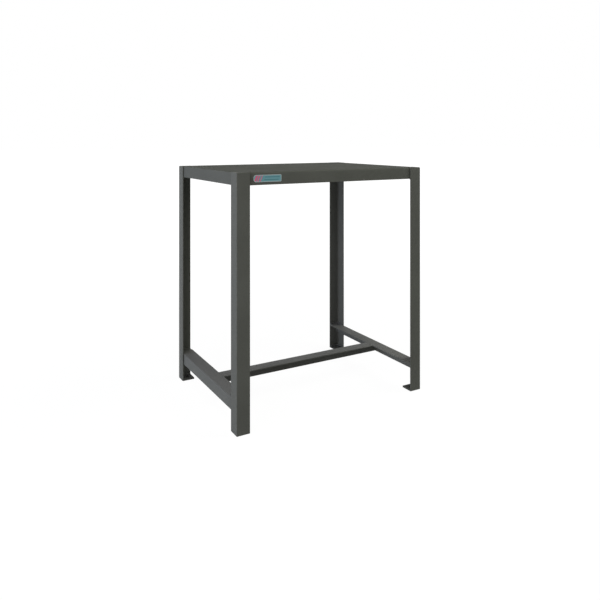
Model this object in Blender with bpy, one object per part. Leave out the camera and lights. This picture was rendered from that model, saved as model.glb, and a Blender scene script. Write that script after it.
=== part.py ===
"""Welded machine table: a folded sheet-metal pan between four angle legs, with angle stretchers.

Metres, +Z up. The front of the table is -Y. Its origin is on the floor under the middle of its plan.
"""

import math

import bmesh
import bpy
from mathutils import Vector

# Overall size, from outer face to outer face of the legs.
TABLE_WIDTH = 0.61595
TABLE_DEPTH = 0.46355
TABLE_HEIGHT = 0.6858

# Legs, of equal-flange rolled angle with the heel at the table's corner.
LEG_FLANGE = 0.0381
LEG_WALL = 0.003175
LEG_TOP_ROUNDING = 0.004

# Radii that all of the rolled angle has.
HEEL_RADIUS = 0.0012
ROOT_RADIUS = 0.0032
TOE_RADIUS = 0.0016

# Top, one sheet folded down on four sides, with open mitred seams at its corners.
PAN_SHEET = 0.00266
PAN_FLANGE = 0.0349
PAN_BEND_INNER_RADIUS = 0.001
PAN_CORNER_EASE = 0.0005
PAN_SEAM = 0.0008

# Stretchers, of unequal rolled angle with the wide flange on top.
STRETCHER_HEIGHT = 0.08636
STRETCHER_TOP_FLANGE = 0.0381
STRETCHER_SIDE_FLANGE = 0.0333
STRETCHER_WALL = 0.003175
CENTRE_STRETCHER_FORWARD = 0.0045

# Foot pads, square plates inside the feet of the legs.
PAD_THICKNESS = 0.00476
PAD_HOLE_DIAMETER = 0.011

# Label plate, half way down the front flange of the pan.
LABEL_FROM_LEFT = 0.0494
LABEL_WIDTH = 0.083
LABEL_HEIGHT = 0.0193
LABEL_THICKNESS = 0.001
LABEL_LEFT_RADIUS = 0.0075
LABEL_RIGHT_RADIUS = 0.003

# Weld beads, measured along each of the two faces that they join.
STRETCHER_BEAD = 0.0045
PAD_BEAD = 0.003
BEAD_CROWN = 0.0005
BEAD_TAPER = 0.003

# Clearance between pieces that touch, and how far a cut runs past what it cuts.
SEAT_GAP = 0.0003
CUT_OVERRUN = 0.004

# Shares of the sizes that they follow.
TOE_WALL_SHARE = 0.9
COPE_GAP_SHARE = 0.9
BEAD_END_SHARE = 0.5

# Numbers of facets.
RADIUS_STEPS = 4
TOP_ROUNDING_CUTS = 3
HOLE_SIDES = 28
BEAD_FACE_STEPS = 3
BEAD_TURN_STEPS = 4

QUARTER_TURN = math.pi / 2
SHARP_EDGE_ANGLE = math.radians(40)
UP = Vector((0, 0, 1))

# Sizes that follow from the values above.
# Whatever seats inside the legs starts at the inset from their outer faces.
HALF_WIDTH = TABLE_WIDTH / 2
HALF_DEPTH = TABLE_DEPTH / 2
COPE_GAP = SEAT_GAP * COPE_GAP_SHARE
INSET = LEG_WALL + SEAT_GAP
PAN_BEND_RADIUS = PAN_BEND_INNER_RADIUS + PAN_SHEET
PAN_CORNER_RADIUS = max(PAN_BEND_RADIUS, ROOT_RADIUS) + PAN_CORNER_EASE
STRETCHER_FACE = INSET + STRETCHER_WALL
FLANGE_BEAD = PAN_SHEET

# Each corner of the table: its side in X, its side in Y and the turn that points its leg inwards.
CORNERS = {
    "front_left": (-1, -1, 0),
    "front_right": (1, -1, QUARTER_TURN),
    "back_right": (1, 1, 2 * QUARTER_TURN),
    "back_left": (-1, 1, 3 * QUARTER_TURN),
}

# Each finish: colour, roughness and metallic value.
FINISHES = {
    "top_paint": ((0.105, 0.109, 0.096), 0.42, 0.1),
    "leg_paint": ((0.075, 0.078, 0.068), 0.46, 0.1),
    "stretcher_paint": ((0.11, 0.112, 0.107), 0.45, 0.1),
    "pad_paint": ((0.05, 0.051, 0.046), 0.5, 0.1),
    "weld_paint": ((0.085, 0.087, 0.079), 0.4, 0.15),
    "label_face": ((0.09, 0.22, 0.24), 0.35, 0.0),
}


def clear_scene():
    """Removes whatever objects the scene holds."""
    for obj in list(bpy.data.objects):
        bpy.data.objects.remove(obj, do_unlink=True)


def make_finish(name):
    """A painted finish, with its colour, roughness and metallic value from the table of finishes."""
    colour, roughness, metallic = FINISHES[name]
    material = bpy.data.materials.new(name)
    material.use_nodes = True
    shader = material.node_tree.nodes["Principled BSDF"]
    shader.inputs["Base Color"].default_value = (*colour, 1)
    shader.inputs["Roughness"].default_value = roughness
    shader.inputs["Metallic"].default_value = metallic
    material.diffuse_color = (*colour, 1)
    return material


def finished_mesh(name, bm, material=None):
    """The bmesh as a mesh, with soft shading over its rounded edges, and its finish."""
    mesh = bpy.data.meshes.new(name)
    bm.to_mesh(mesh)
    bm.free()
    mesh.shade_smooth()
    mesh.set_sharp_from_angle(angle=SHARP_EDGE_ANGLE)
    if material:
        mesh.materials.append(material)
    return mesh


def place(name, mesh, parent, location=(0, 0, 0), rotation=(0, 0, 0)):
    """An object with this mesh, put at its place under its parent."""
    obj = bpy.data.objects.new(name, mesh)
    bpy.context.scene.collection.objects.link(obj)
    obj.parent = parent
    obj.location = location
    obj.rotation_euler = rotation
    return obj


def place_cutter(name, mesh, parent, location=(0, 0, 0), rotation=(0, 0, 0)):
    """A shape that only cuts others: it is drawn as wire and never rendered."""
    obj = place(name, mesh, parent, location, rotation)
    obj.hide_render = True
    obj.display_type = "WIRE"
    return obj


def cut(obj, cutter):
    """Takes the cutter's shape out of the object."""
    modifier = obj.modifiers.new(cutter.name, "BOOLEAN")
    modifier.operation = "DIFFERENCE"
    modifier.solver = "EXACT"
    modifier.object = cutter


def arc(centre, radius, start, end, steps=RADIUS_STEPS):
    """Points of an arc about its centre, or the centre alone where the radius is nothing."""
    if radius <= 0:
        return [centre]
    angles = [start + (end - start) * i / steps for i in range(steps + 1)]
    return [(centre[0] + radius * math.cos(a), centre[1] + radius * math.sin(a)) for a in angles]


def angle_section(flange_x, flange_y, wall, toe_radius, grow=0.0):
    """Outline of rolled angle, its heel at the origin and its faces moved out by grow."""
    near = -grow
    far_x = flange_x + grow
    far_y = flange_y + grow
    face = wall + grow
    heel = HEEL_RADIUS + grow
    root = max(ROOT_RADIUS - grow, 0)
    toe = min(toe_radius, wall * TOE_WALL_SHARE)
    points = arc((near + heel, near + heel), heel, 2 * QUARTER_TURN, 3 * QUARTER_TURN)
    points.append((far_x, near))
    points += arc((far_x - toe, face - toe), toe, 0, QUARTER_TURN)
    points += arc((face + root, face + root), root, 3 * QUARTER_TURN, 2 * QUARTER_TURN)
    points += arc((face - toe, far_y - toe), toe, 0, QUARTER_TURN)
    points.append((near, far_y))
    return points


def prism(outline, low, high):
    """A straight length of the outline's section, along Z from low to high."""
    bm = bmesh.new()
    base = bm.faces.new([bm.verts.new((x, y, low)) for x, y in outline])
    raised = bmesh.ops.extrude_face_region(bm, geom=[base])
    corners = [item for item in raised["geom"] if isinstance(item, bmesh.types.BMVert)]
    bmesh.ops.translate(bm, verts=corners, vec=UP * (high - low))
    bmesh.ops.recalc_face_normals(bm, faces=bm.faces)
    return bm


def loft(rings):
    """A closed skin over rings of points, each ring joined to the next and the two end ones filled."""
    bm = bmesh.new()
    loops = [[bm.verts.new(point) for point in ring] for ring in rings]
    for loop, following in zip(loops, loops[1:]):
        for i in range(len(loop)):
            j = (i + 1) % len(loop)
            bm.faces.new((loop[i], loop[j], following[j], following[i]))
    bm.faces.new(loops[0])
    bm.faces.new(loops[-1])
    bmesh.ops.recalc_face_normals(bm, faces=bm.faces)
    return bm


def leg_blank():
    """A full-height angle, its outermost top corner ground round by flat cuts across the diagonal."""
    bm = prism(angle_section(LEG_FLANGE, LEG_FLANGE, LEG_WALL, TOE_RADIUS), 0, TABLE_HEIGHT)
    outward = Vector((-1, -1, 0)).normalized()
    centre = UP * (TABLE_HEIGHT - LEG_TOP_ROUNDING) - outward * LEG_TOP_ROUNDING
    for i in range(TOP_ROUNDING_CUTS):
        tilt = QUARTER_TURN * (i + 1) / (TOP_ROUNDING_CUTS + 1)
        normal = outward * math.cos(tilt) + UP * math.sin(tilt)
        sliced = bmesh.ops.bisect_plane(
            bm,
            geom=[*bm.verts, *bm.edges, *bm.faces],
            plane_co=centre + normal * LEG_TOP_ROUNDING,
            plane_no=normal,
            clear_outer=True,
        )
        rim = [item for item in sliced["geom_cut"] if isinstance(item, bmesh.types.BMEdge)]
        bmesh.ops.holes_fill(bm, edges=rim)
    bmesh.ops.recalc_face_normals(bm, faces=bm.faces)
    return bm


def leg_cutter_blank():
    """The leg's section with the cope clearance all round, longer than the leg."""
    section = angle_section(LEG_FLANGE, LEG_FLANGE, LEG_WALL, 0, COPE_GAP)
    return prism(section, -CUT_OVERRUN, TABLE_HEIGHT + CUT_OVERRUN)


def rounded_block(width, depth, bottom, top, upright_radius, top_radius):
    """A block centred on Z, its upright edges rounded first and then the edges of its top."""
    bm = bmesh.new()
    bmesh.ops.create_cube(bm, size=1)
    bmesh.ops.scale(bm, verts=bm.verts, vec=(width, depth, top - bottom))
    bmesh.ops.translate(bm, verts=bm.verts, vec=UP * ((top + bottom) / 2))
    upright = [edge for edge in bm.edges if edge.verts[0].co.xy == edge.verts[1].co.xy]
    rounding = {"segments": RADIUS_STEPS, "profile": 0.5, "affect": "EDGES"}
    bmesh.ops.bevel(bm, geom=upright, offset=upright_radius, **rounding)
    middle = (top + bottom) / 2
    rim = [edge for edge in bm.edges if min(vert.co.z for vert in edge.verts) > middle]
    bmesh.ops.bevel(bm, geom=rim, offset=top_radius, **rounding)
    return bm


def make_table_top(parent, finish):
    """The pan: a shell with bent edges, whose four flanges part at a mitred seam below the bend."""
    width = TABLE_WIDTH - 2 * INSET
    depth = TABLE_DEPTH - 2 * INSET
    bottom = TABLE_HEIGHT - PAN_FLANGE
    outside = rounded_block(width, depth, bottom, TABLE_HEIGHT, PAN_CORNER_RADIUS, PAN_BEND_RADIUS)
    pan = place("table_top", finished_mesh("table_top", outside, finish), parent)
    inside = rounded_block(
        width - 2 * PAN_SHEET,
        depth - 2 * PAN_SHEET,
        bottom - CUT_OVERRUN,
        TABLE_HEIGHT - PAN_SHEET,
        PAN_CORNER_RADIUS - PAN_SHEET,
        PAN_BEND_INNER_RADIUS,
    )
    cut(pan, place_cutter("pan_hollow", finished_mesh("pan_hollow", inside), parent))
    half_seam = PAN_SEAM / 2
    reach = PAN_CORNER_RADIUS + PAN_SHEET + CUT_OVERRUN
    near = -CUT_OVERRUN
    outline = [(near, -half_seam), (reach, -half_seam), (reach, half_seam), (near, half_seam)]
    seam = prism(outline, bottom - CUT_OVERRUN, TABLE_HEIGHT - PAN_BEND_RADIUS)
    slot = finished_mesh("pan_seam", seam)
    for name, (side_x, side_y, turn) in CORNERS.items():
        corner = (side_x * width / 2, side_y * depth / 2, 0)
        diagonal = (0, 0, turn + QUARTER_TURN / 2)
        cut(pan, place_cutter(f"pan_seam_{name}", slot, parent, corner, diagonal))
    return pan


def stretcher_section(toe_radius, grow=0.0):
    """Outline of the stretchers' angle, its top flange along +X and its side flange along +Y."""
    return angle_section(STRETCHER_TOP_FLANGE, STRETCHER_SIDE_FLANGE, STRETCHER_WALL, toe_radius, grow)


def make_side_stretchers(parent, finish, leg_cutters):
    """The two side stretchers, each coped at its ends round the root of the legs that it joins."""
    length = TABLE_DEPTH - 2 * INSET
    mesh = finished_mesh("side_stretcher", prism(stretcher_section(TOE_RADIUS), 0, length), finish)
    cutter_section = stretcher_section(0, COPE_GAP)
    cutter_mesh = finished_mesh("side_stretcher_cutter", prism(cutter_section, 0, length))
    cutters = []
    for side, side_x, turn in (("left", -1, 0), ("right", 1, 2 * QUARTER_TURN)):
        heel = (side_x * (HALF_WIDTH - INSET), side_x * length / 2, STRETCHER_HEIGHT)
        rotation = (-QUARTER_TURN, 0, turn)
        stretcher = place(f"side_stretcher_{side}", mesh, parent, heel, rotation)
        for end in ("front", "back"):
            cut(stretcher, leg_cutters[f"{end}_{side}"])
        cutter_name = f"side_stretcher_{side}_cutter"
        cutters.append(place_cutter(cutter_name, cutter_mesh, parent, heel, rotation))
    return cutters


def make_centre_stretcher(parent, finish, side_cutters):
    """The centre stretcher: its top flange ends at the side ones, its side flange passes under them."""
    length = TABLE_WIDTH - 2 * (STRETCHER_FACE + SEAT_GAP)
    mesh = finished_mesh("centre_stretcher", prism(stretcher_section(TOE_RADIUS), 0, length), finish)
    heel = (-length / 2, -CENTRE_STRETCHER_FORWARD, STRETCHER_HEIGHT)
    stretcher = place("centre_stretcher", mesh, parent, heel, (-QUARTER_TURN, 0, -QUARTER_TURN))
    for cutter in side_cutters:
        cut(stretcher, cutter)
    return stretcher


def pad_blank():
    """A square plate from the leg's inner faces to its toes."""
    outline = [(INSET, INSET), (LEG_FLANGE, INSET), (LEG_FLANGE, LEG_FLANGE), (INSET, LEG_FLANGE)]
    return prism(outline, 0, PAD_THICKNESS)


def pad_hole_blank():
    """The punched hole through the middle of a foot pad."""
    middle = (INSET + LEG_FLANGE) / 2
    outline = arc((middle, middle), PAD_HOLE_DIAMETER / 2, 0, 4 * QUARTER_TURN, HOLE_SIDES)[:-1]
    return prism(outline, -CUT_OVERRUN, PAD_THICKNESS + CUT_OVERRUN)


def make_label(parent, finish):
    """The plate on the front flange, with a well rounded left end and small radii at its right end."""
    half_width = LABEL_WIDTH / 2
    half_height = LABEL_HEIGHT / 2
    left = min(LABEL_LEFT_RADIUS, half_height)
    right = min(LABEL_RIGHT_RADIUS, half_height)
    outline = arc((half_width - right, half_height - right), right, 0, QUARTER_TURN)
    outline += arc((left - half_width, half_height - left), left, QUARTER_TURN, 2 * QUARTER_TURN)
    outline += arc((left - half_width, left - half_height), left, 2 * QUARTER_TURN, 3 * QUARTER_TURN)
    outline += arc((half_width - right, right - half_height), right, 3 * QUARTER_TURN, 4 * QUARTER_TURN)
    mesh = finished_mesh("label_plate", prism(outline, 0, LABEL_THICKNESS), finish)
    across = LABEL_FROM_LEFT + half_width - HALF_WIDTH
    front = INSET - SEAT_GAP - HALF_DEPTH
    middle = TABLE_HEIGHT - PAN_FLANGE / 2
    return place("label_plate", mesh, parent, (across, front, middle), (QUARTER_TURN, 0, 0))


def fillet_profile(leg):
    """Section of a convex fillet between two faces that meet at the origin, clear of both."""
    points = [(SEAT_GAP, SEAT_GAP)]
    for i in range(BEAD_FACE_STEPS + 1):
        share = i / BEAD_FACE_STEPS
        crown = BEAD_CROWN * 4 * share * (1 - share)
        points.append((SEAT_GAP + leg * (1 - share) + crown, SEAT_GAP + leg * share + crown))
    return points


def groove_profile():
    """Section of the groove between a leg and the pan's bend, filled flush and clear of both."""
    clear = PAN_BEND_RADIUS + SEAT_GAP
    centre = (SEAT_GAP + PAN_BEND_RADIUS, TABLE_HEIGHT - PAN_BEND_RADIUS)
    lowest = 2 * QUARTER_TURN - math.acos(PAN_BEND_RADIUS / clear)
    highest = 2 * QUARTER_TURN - math.asin(PAN_BEND_RADIUS / clear)
    return [(SEAT_GAP, TABLE_HEIGHT), *arc(centre, clear, lowest, highest, BEAD_FACE_STEPS)]


def shrunk(profile, share):
    """The profile drawn in towards its first point."""
    root = profile[0]
    return [tuple(r + (value - r) * share for r, value in zip(root, point)) for point in profile]


def wall_distance(turn, angle):
    """Distance to the leg's inner surface, less the seat gap, from a point by turn off both faces."""
    angle = min(angle, QUARTER_TURN - angle)
    to_face = (turn - SEAT_GAP) / math.cos(angle)
    if turn - to_face * math.sin(angle) >= ROOT_RADIUS:
        return to_face
    offset = turn - ROOT_RADIUS
    lean = offset * (math.sin(angle) + math.cos(angle))
    return lean + math.sqrt(lean**2 - 2 * offset**2 + (ROOT_RADIUS - SEAT_GAP) ** 2)


def corner_bead(profile, turn):
    """A bead along both inner faces of a leg, from toe to toe, turning at its root.

    It turns about the point that lies the turn off both faces. The profile holds distances from the
    leg's face and heights. Where it touches the leg, it follows the root.
    """
    full = [(SEAT_GAP if math.isclose(d, SEAT_GAP) else d, z) for d, z in profile]
    arm = []
    for along, share in ((LEG_FLANGE, BEAD_END_SHARE), (LEG_FLANGE - BEAD_TAPER, 1)):
        arm.append([(along, LEG_WALL + d, z) for d, z in shrunk(full, share)])
    bend = []
    for i in range(BEAD_TURN_STEPS + 1):
        angle = QUARTER_TURN * i / BEAD_TURN_STEPS
        ring = []
        for d, z in full:
            distance = wall_distance(turn, angle) if d == SEAT_GAP else turn - d
            x = LEG_WALL + turn - distance * math.sin(angle)
            y = LEG_WALL + turn - distance * math.cos(angle)
            ring.append((x, y, z))
        bend.append(ring)
    other_arm = [[(y, x, z) for x, y, z in ring] for ring in reversed(arm)]
    return loft(arm + bend + other_arm)


def seated_corner_bead(leg, seat, side):
    """A fillet along both inner faces of a leg, above (side 1) or below (side -1) a level seat."""
    profile = [(d, seat + side * height) for d, height in fillet_profile(leg)]
    return corner_bead(profile, SEAT_GAP + leg + BEAD_CROWN + ROOT_RADIUS)


def upright_bead():
    """A straight fillet up the corner behind a stretcher's side flange, from its toe to its root."""
    low = STRETCHER_HEIGHT - STRETCHER_SIDE_FLANGE + TOE_RADIUS
    high = STRETCHER_HEIGHT - STRETCHER_WALL - ROOT_RADIUS
    taper = min(BEAD_TAPER, (high - low) / 4)
    stations = ((low, BEAD_END_SHARE), (low + taper, 1), (high - taper, 1), (high, BEAD_END_SHARE))
    profile = fillet_profile(STRETCHER_BEAD)
    return loft([[(x, y, z) for x, y in shrunk(profile, share)] for z, share in stations])


def make_table():
    """Builds every piece of the table under one empty, with an empty at the foot of each corner."""
    clear_scene()
    finishes = {name: make_finish(name) for name in FINISHES}
    weld = finishes["weld_paint"]
    table = place("machine_table", None, None)

    corner_shapes = {
        "leg": (leg_blank(), finishes["leg_paint"]),
        "foot_pad": (pad_blank(), finishes["pad_paint"]),
        "weld_top": (corner_bead(groove_profile(), SEAT_GAP + PAN_CORNER_RADIUS), weld),
        "weld_flange": (seated_corner_bead(FLANGE_BEAD, TABLE_HEIGHT - PAN_FLANGE, -1), weld),
        "weld_stretcher": (seated_corner_bead(STRETCHER_BEAD, STRETCHER_HEIGHT, 1), weld),
        "weld_pad": (seated_corner_bead(PAD_BEAD, PAD_THICKNESS, 1), weld),
    }
    corner_meshes = {kind: finished_mesh(kind, *shape) for kind, shape in corner_shapes.items()}
    leg_cutter = finished_mesh("leg_cutter", leg_cutter_blank())
    pad_hole = finished_mesh("pad_hole", pad_hole_blank())
    bead = finished_mesh("upright_bead", upright_bead(), weld)

    leg_cutters = {}
    for name, (side_x, side_y, turn) in CORNERS.items():
        foot = (side_x * HALF_WIDTH, side_y * HALF_DEPTH, 0)
        corner = place(f"corner_{name}", None, table, foot, (0, 0, turn))
        pieces = {kind: place(f"{kind}_{name}", mesh, corner) for kind, mesh in corner_meshes.items()}
        leg_cutters[name] = place_cutter(f"leg_{name}_cutter", leg_cutter, corner)
        cut(pieces["foot_pad"], leg_cutters[name])
        cut(pieces["foot_pad"], place_cutter(f"pad_hole_{name}", pad_hole, corner))
        across, along = STRETCHER_FACE, LEG_WALL
        if side_x != side_y:
            across, along = along, across
        place(f"weld_stretcher_end_{name}", bead, corner, (across, along, 0))

    make_table_top(table, finishes["top_paint"])
    side_cutters = make_side_stretchers(table, finishes["stretcher_paint"], leg_cutters)
    make_centre_stretcher(table, finishes["stretcher_paint"], side_cutters)
    for side, side_x, turn in (("left", -1, 0), ("right", 1, QUARTER_TURN)):
        foot = (side_x * (HALF_WIDTH - STRETCHER_FACE), -CENTRE_STRETCHER_FORWARD, 0)
        place(f"weld_centre_{side}", bead, table, foot, (0, 0, turn))
    make_label(table, finishes["label_face"])


make_table()
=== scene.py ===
"""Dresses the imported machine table.

The steel angles, the folded pan and the foot pads are made again as smooth surfaces with softened edges,
the weld beads get their ripples and the label plate its print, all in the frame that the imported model
gives. Metres, +Z up.
"""

import logging
import math
from abc import ABC, abstractmethod
from collections.abc import Iterator
from dataclasses import dataclass, replace
from enum import Enum
from typing import ClassVar

import bpy
import numpy as np
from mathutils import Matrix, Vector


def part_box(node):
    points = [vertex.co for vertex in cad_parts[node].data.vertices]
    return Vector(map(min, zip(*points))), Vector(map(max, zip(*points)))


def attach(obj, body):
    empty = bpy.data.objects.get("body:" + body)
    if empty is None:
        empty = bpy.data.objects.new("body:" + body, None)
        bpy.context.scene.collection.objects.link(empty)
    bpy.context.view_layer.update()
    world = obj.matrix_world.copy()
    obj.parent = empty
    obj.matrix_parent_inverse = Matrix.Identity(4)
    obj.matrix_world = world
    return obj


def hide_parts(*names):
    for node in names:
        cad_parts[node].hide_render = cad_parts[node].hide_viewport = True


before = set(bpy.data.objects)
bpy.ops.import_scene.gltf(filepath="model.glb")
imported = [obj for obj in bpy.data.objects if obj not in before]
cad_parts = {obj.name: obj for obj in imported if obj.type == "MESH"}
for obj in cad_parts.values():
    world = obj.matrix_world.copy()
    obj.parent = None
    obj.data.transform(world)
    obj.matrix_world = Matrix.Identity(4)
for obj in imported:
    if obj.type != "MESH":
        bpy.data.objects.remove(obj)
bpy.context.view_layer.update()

LOG = logging.getLogger("machine_table")

BODY = "root"
QUARTER_TURN = math.pi / 2
MERGE_DISTANCE = 1e-7
SHARP_EDGE_ANGLE = math.radians(35)

# Signs of the two coordinates in the four quarters of a plane, anticlockwise.
QUADRANTS = ((1, 1), (-1, 1), (-1, -1), (1, -1))

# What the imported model's boxes don't say of the sections, the same as on the solids.
SEAT_GAP = 0.0003
HEEL_RADIUS = 0.0012
ROOT_RADIUS = 0.0032
TOE_RADIUS = 0.0016
LEG_TOP_ROUNDING = 0.004
PAN_SHEET = 0.00266
PAN_BEND_RADIUS = 0.00366
PAN_CORNER_RADIUS = 0.00416
PAN_SEAM = 0.0008
PAD_HOLE_DIAMETER = 0.011

# Length over which the side stretchers' toes are snipped back, so that none stands past a leg's toe.
TOE_SNIP = 0.008

# Softening of the steel's edges under the paint.
PAINTED_EDGE_RADIUS = 0.0002
PAINTED_EDGE_SEGMENTS = 2

# Widths of the weld beads along the faces that they join. Those under the pan are as wide as its sheet.
STRETCHER_BEAD = 0.0045
PAD_BEAD = 0.003

# Where the ripples of each kind of bead start, and the shifts from one corner or side to the next, so that
# no two beads are alike.
FLANGE_START = 0.0
STRETCHER_START = 0.0003
PAD_START = 0.0005
END_START = 0.0009
CENTRE_START = 0.0011
CORNER_SHIFT = 0.0007
SIDE_SHIFT = 0.0004

# Values between which nearly all of a noise lies.
NOISE_SPAN = (0.3, 0.7)

# The colour that the legs and the top are painted.
STEEL_GREY = (0.095, 0.098, 0.086)

Colour = tuple[float, float, float]
Span = tuple[float, float]


class Corner(Enum):
    """A corner of the table: its side in X, its side in Y and the turn that a shape makes to get there."""

    front_left = (-1, -1, 0.0)
    front_right = (1, -1, QUARTER_TURN)
    back_right = (1, 1, 2 * QUARTER_TURN)
    back_left = (-1, 1, 3 * QUARTER_TURN)


class Side(Enum):
    """A side of the table, with its sign in X."""

    left = -1
    right = 1


class Slot(Enum):
    """A material slot of the record."""

    top = "top_paint"
    leg = "leg_paint"
    stretcher = "stretcher_paint"
    pad = "pad_paint"
    weld = "weld_paint"
    label = "label_face"


@dataclass(frozen=True)
class TableSizes:
    """The table's sizes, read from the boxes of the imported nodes.

    Attributes:
        half_width: From the middle to the legs' outer faces in X.
        half_depth: From the middle to the legs' outer faces in Y.
        height: Height of the top.
        leg_flange: Width of a leg's flanges.
        wall: Thickness of the rolled angle.
        pan_bottom: Height of the pan's lower edge.
        stretcher_height: Height of the stretchers' tops.
        stretcher_drop: Width of the stretchers' upright flanges.
        stretcher_reach: Width of the stretchers' top flanges.
        centre_back: Y of the centre stretcher's back face.
        pad_thickness: Thickness of the foot pads.
    """

    half_width: float
    half_depth: float
    height: float
    leg_flange: float
    wall: float
    pan_bottom: float
    stretcher_height: float
    stretcher_drop: float
    stretcher_reach: float
    centre_back: float
    pad_thickness: float

    @classmethod
    def from_frame(cls) -> "TableSizes":
        """Reads the sizes from the frame.

        Returns:
            The sizes.
        """
        leg_low, leg_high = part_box("leg_front_left")
        pan_low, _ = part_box("table_top")
        side_low, side_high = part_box("side_stretcher_left")
        _, centre_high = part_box("centre_stretcher")
        _, pad_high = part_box("foot_pad_front_left")
        return cls(
            half_width=-leg_low.x,
            half_depth=-leg_low.y,
            height=leg_high.z,
            leg_flange=leg_high.x - leg_low.x,
            wall=pan_low.x - leg_low.x - SEAT_GAP,
            pan_bottom=pan_low.z,
            stretcher_height=side_high.z,
            stretcher_drop=side_high.z - side_low.z,
            stretcher_reach=side_high.x - side_low.x,
            centre_back=centre_high.y,
            pad_thickness=pad_high.z,
        )

    @property
    def inset(self) -> float:
        """Where a piece that seats inside a leg starts, from the leg's outer faces."""
        return self.wall + SEAT_GAP

    @property
    def stretcher_face(self) -> float:
        """From the middle to the inner faces of the side stretchers' upright flanges."""
        return self.half_width - self.inset - self.wall

    def at_corner(self, points: np.ndarray, corner: Corner) -> np.ndarray:
        """Brings a shape that is drawn for the front left corner to a corner.

        Args:
            points: Its points from the foot of the leg's spine, shape (..., 3).
            corner: The corner.

        Returns:
            The points in the table's frame.
        """
        side_x, side_y, turn = corner.value
        c, s = math.cos(turn), math.sin(turn)
        turned = np.array([[c, -s, 0.0], [s, c, 0.0], [0.0, 0.0, 1.0]])
        return points @ turned.T + np.array([side_x * self.half_width, side_y * self.half_depth, 0.0])


def points_of(*coordinates: np.ndarray | float) -> np.ndarray:
    """Points from their coordinates, which are broadcast against each other."""
    return np.stack(np.broadcast_arrays(*coordinates), -1)


def raised(plan: np.ndarray, height: np.ndarray) -> np.ndarray:
    """Points in plan at heights, which are broadcast against each other."""
    return points_of(plan[..., 0], plan[..., 1], height)


def arc(centre: np.ndarray | float, radius: np.ndarray | float, angle: np.ndarray) -> np.ndarray:
    """Points of a circle about a centre in a plane, at angles anticlockwise from its first axis."""
    return centre + radius * np.stack([np.cos(angle), np.sin(angle)], -1)


def between(first: np.ndarray, second: np.ndarray, count: int) -> np.ndarray:
    """Evenly spaced points from each point of one line to its partner on another, shape (N, count, 2)."""
    share = np.linspace(0, 1, count)[None, :, None]
    return first[:, None] * (1 - share) + second[:, None] * share


def numbered(points: np.ndarray) -> np.ndarray:
    """The points' numbers in their flat list, in the shape of their grid."""
    return np.arange(points[..., 0].size).reshape(points.shape[:-1])


def all_cells(points: np.ndarray) -> np.ndarray:
    """True for every cell of a block of points."""
    return np.ones([n - 1 for n in points.shape[:3]], bool)


def block_skin(points: np.ndarray, keep: np.ndarray | None = None, wraps: bool = False) -> np.ndarray:
    """The skin round the kept cells of a block of cells.

    A square between two cells is part of the skin where one of the cells is kept and the other is not, and
    it is turned away from the kept one.

    Args:
        points: Grid of points, shape (I, J, K, 3). Where it wraps, its last layer in I repeats its first.
        keep: Which cells there are, shape (I - 1, J - 1, K - 1), or None for all.
        wraps: Whether the block closes on itself in I.

    Returns:
        Corner numbers of each square in the flat list of points, shape (N, 4).
    """
    keep = all_cells(points) if keep is None else keep
    quads = []
    for axis in range(3):
        joined = wraps and axis == 0
        corner = np.moveaxis(numbered(points), axis, 0)
        cell = np.moveaxis(keep, axis, 0).astype(int)
        before, after = (cell[-1:], cell[:1]) if joined else (0 * cell[:1], 0 * cell[:1])
        change = np.concatenate([before, cell]) - np.concatenate([cell, after])
        square = np.stack(
            [corner[:, :-1, :-1], corner[:, 1:, :-1], corner[:, 1:, 1:], corner[:, :-1, 1:]], axis=-1
        )
        if joined:
            change, square = change[:-1], square[:-1]
        handed = -1 if axis == 1 else 1
        quads += [square[change == handed], square[change == -handed][:, ::-1]]
    return np.concatenate(quads)


def tube_quads(rings: np.ndarray) -> np.ndarray:
    """The quads between rings of points that close on themselves.

    Args:
        rings: Points, shape (S, P, 3).

    Returns:
        Corner numbers in the flat list of points, shape (N, 4).
    """
    number = numbered(rings)
    after = np.roll(number, -1, axis=1)
    return np.stack([number[:-1], after[:-1], after[1:], number[1:]], -1).reshape(-1, 4)


def closed_rings(rings: np.ndarray) -> np.ndarray:
    """Closes a tube of rings with a ring drawn together in the middle of each end.

    Args:
        rings: Points, shape (S, P, 3).

    Returns:
        Points, shape (S + 2, P, 3).
    """
    ends = [np.broadcast_to(ring.mean(0), ring.shape) for ring in (rings[0], rings[-1])]
    return np.concatenate([ends[0][None], rings, ends[1][None]])


def signed_volume(points: np.ndarray, quads: np.ndarray) -> float:
    """The volume inside closed quads, less than 0 where they are turned inwards.

    It is a sixth of the sum of a . (b x c) over the two triangles a, b, c of each quad.

    Args:
        points: Points, shape (N, 3).
        quads: Corner numbers, shape (M, 4).

    Returns:
        The volume.
    """
    a, b, c, d = (points[quads[:, i]] for i in range(4))
    triple = np.einsum("ij,ij->i", a, np.cross(b, c)) + np.einsum("ij,ij->i", a, np.cross(c, d))
    return float(triple.sum() / 6)


def tidy_faces(points: np.ndarray, quads: np.ndarray) -> tuple[np.ndarray, list[list[int]]]:
    """Joins points that coincide, drops the unused ones and makes quads that lost a side triangles.

    Args:
        points: Points, shape (..., 3).
        quads: Corner numbers, shape (N, 4).

    Returns:
        The points that are left and the faces as lists of their corner numbers.
    """
    flat = points.reshape(-1, 3)
    rounded = np.round(flat / MERGE_DISTANCE).astype(np.int64)
    _, first, same = np.unique(rounded, axis=0, return_index=True, return_inverse=True)
    faces = same.reshape(-1)[quads]
    repeats = faces == np.roll(faces, -1, axis=1)
    whole = faces[repeats.sum(axis=1) == 0]
    short = repeats.sum(axis=1) == 1
    thirds = faces[short][~repeats[short]].reshape(-1, 3)
    used, number = np.unique(np.concatenate([whole.ravel(), thirds.ravel()]), return_inverse=True)
    split = whole.size
    faces_left = number[:split].reshape(-1, 4).tolist() + number[split:].reshape(-1, 3).tolist()
    return flat[first][used], faces_left


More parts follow.
